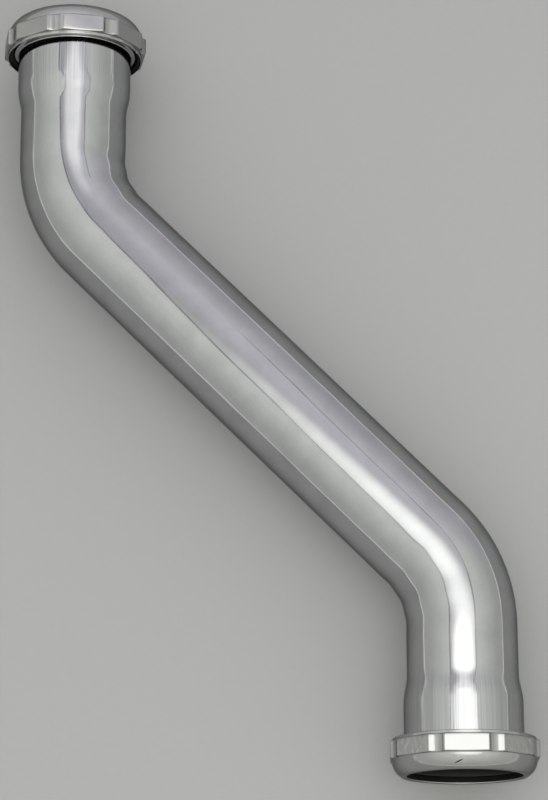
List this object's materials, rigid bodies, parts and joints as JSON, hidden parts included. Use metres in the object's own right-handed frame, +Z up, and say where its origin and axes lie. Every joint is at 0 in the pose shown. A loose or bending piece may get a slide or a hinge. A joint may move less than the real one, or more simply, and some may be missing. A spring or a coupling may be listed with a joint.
{
  "type": "drain extension tube",
  "caption": "Bent metal drain tube that carries waste water sideways between parallel pipes, with a belled slip-joint socket, rubber washer and slip nut at each end.",
  "frame": {"origin": "on the surface that the part lies on, under the middle of the diagonal", "axes": "+Y along the two parallel legs towards the upper one, +X across the offset towards the lower leg, +Z up from the surface"},
  "size_m": [0.188, 0.274, 0.0522],
  "materials": {
    "plated_tube": "polished chrome plate on brass",
    "plated_nut": "chrome plate on a die casting",
    "washer_rubber": "matt black"
  },
  "bodies": {
    "tube": {"offset_tube": "plated_tube"},
    "upper_washer_body": {"upper_washer": "washer_rubber"},
    "upper_nut_body": {"upper_slip_nut": "plated_nut"},
    "lower_washer_body": {"lower_washer": "washer_rubber"},
    "lower_nut_body": {"lower_slip_nut": "plated_nut"}
  },
  "joints": [
    {"name": "upper_washer_slide", "type": "slide", "parent": "tube", "child": "upper_washer_body", "axis": [0, 1, 0], "range_m": [0, 0.00553]},
    {"name": "upper_nut_turn", "type": "hinge", "parent": "upper_washer_body", "child": "upper_nut_body", "pos_m": [-0.0684, 0.137, 0.02608], "axis": [0, 1, 0], "range_deg": [0, 900]},
    {"name": "lower_washer_slide", "type": "slide", "parent": "tube", "child": "lower_washer_body", "axis": [0, -1, 0], "range_m": [0, 0.00553]},
    {"name": "lower_nut_turn", "type": "hinge", "parent": "lower_washer_body", "child": "lower_nut_body", "pos_m": [0.0684, -0.137, 0.02608], "axis": [0, -1, 0], "range_deg": [0, 900]}
  ],
  "couplings": [
    {"joint": "upper_washer_slide", "follows": "upper_nut_turn", "m_per_rad": 0.00035152},
    {"joint": "lower_washer_slide", "follows": "lower_nut_turn", "m_per_rad": 0.00035152}
  ]
}
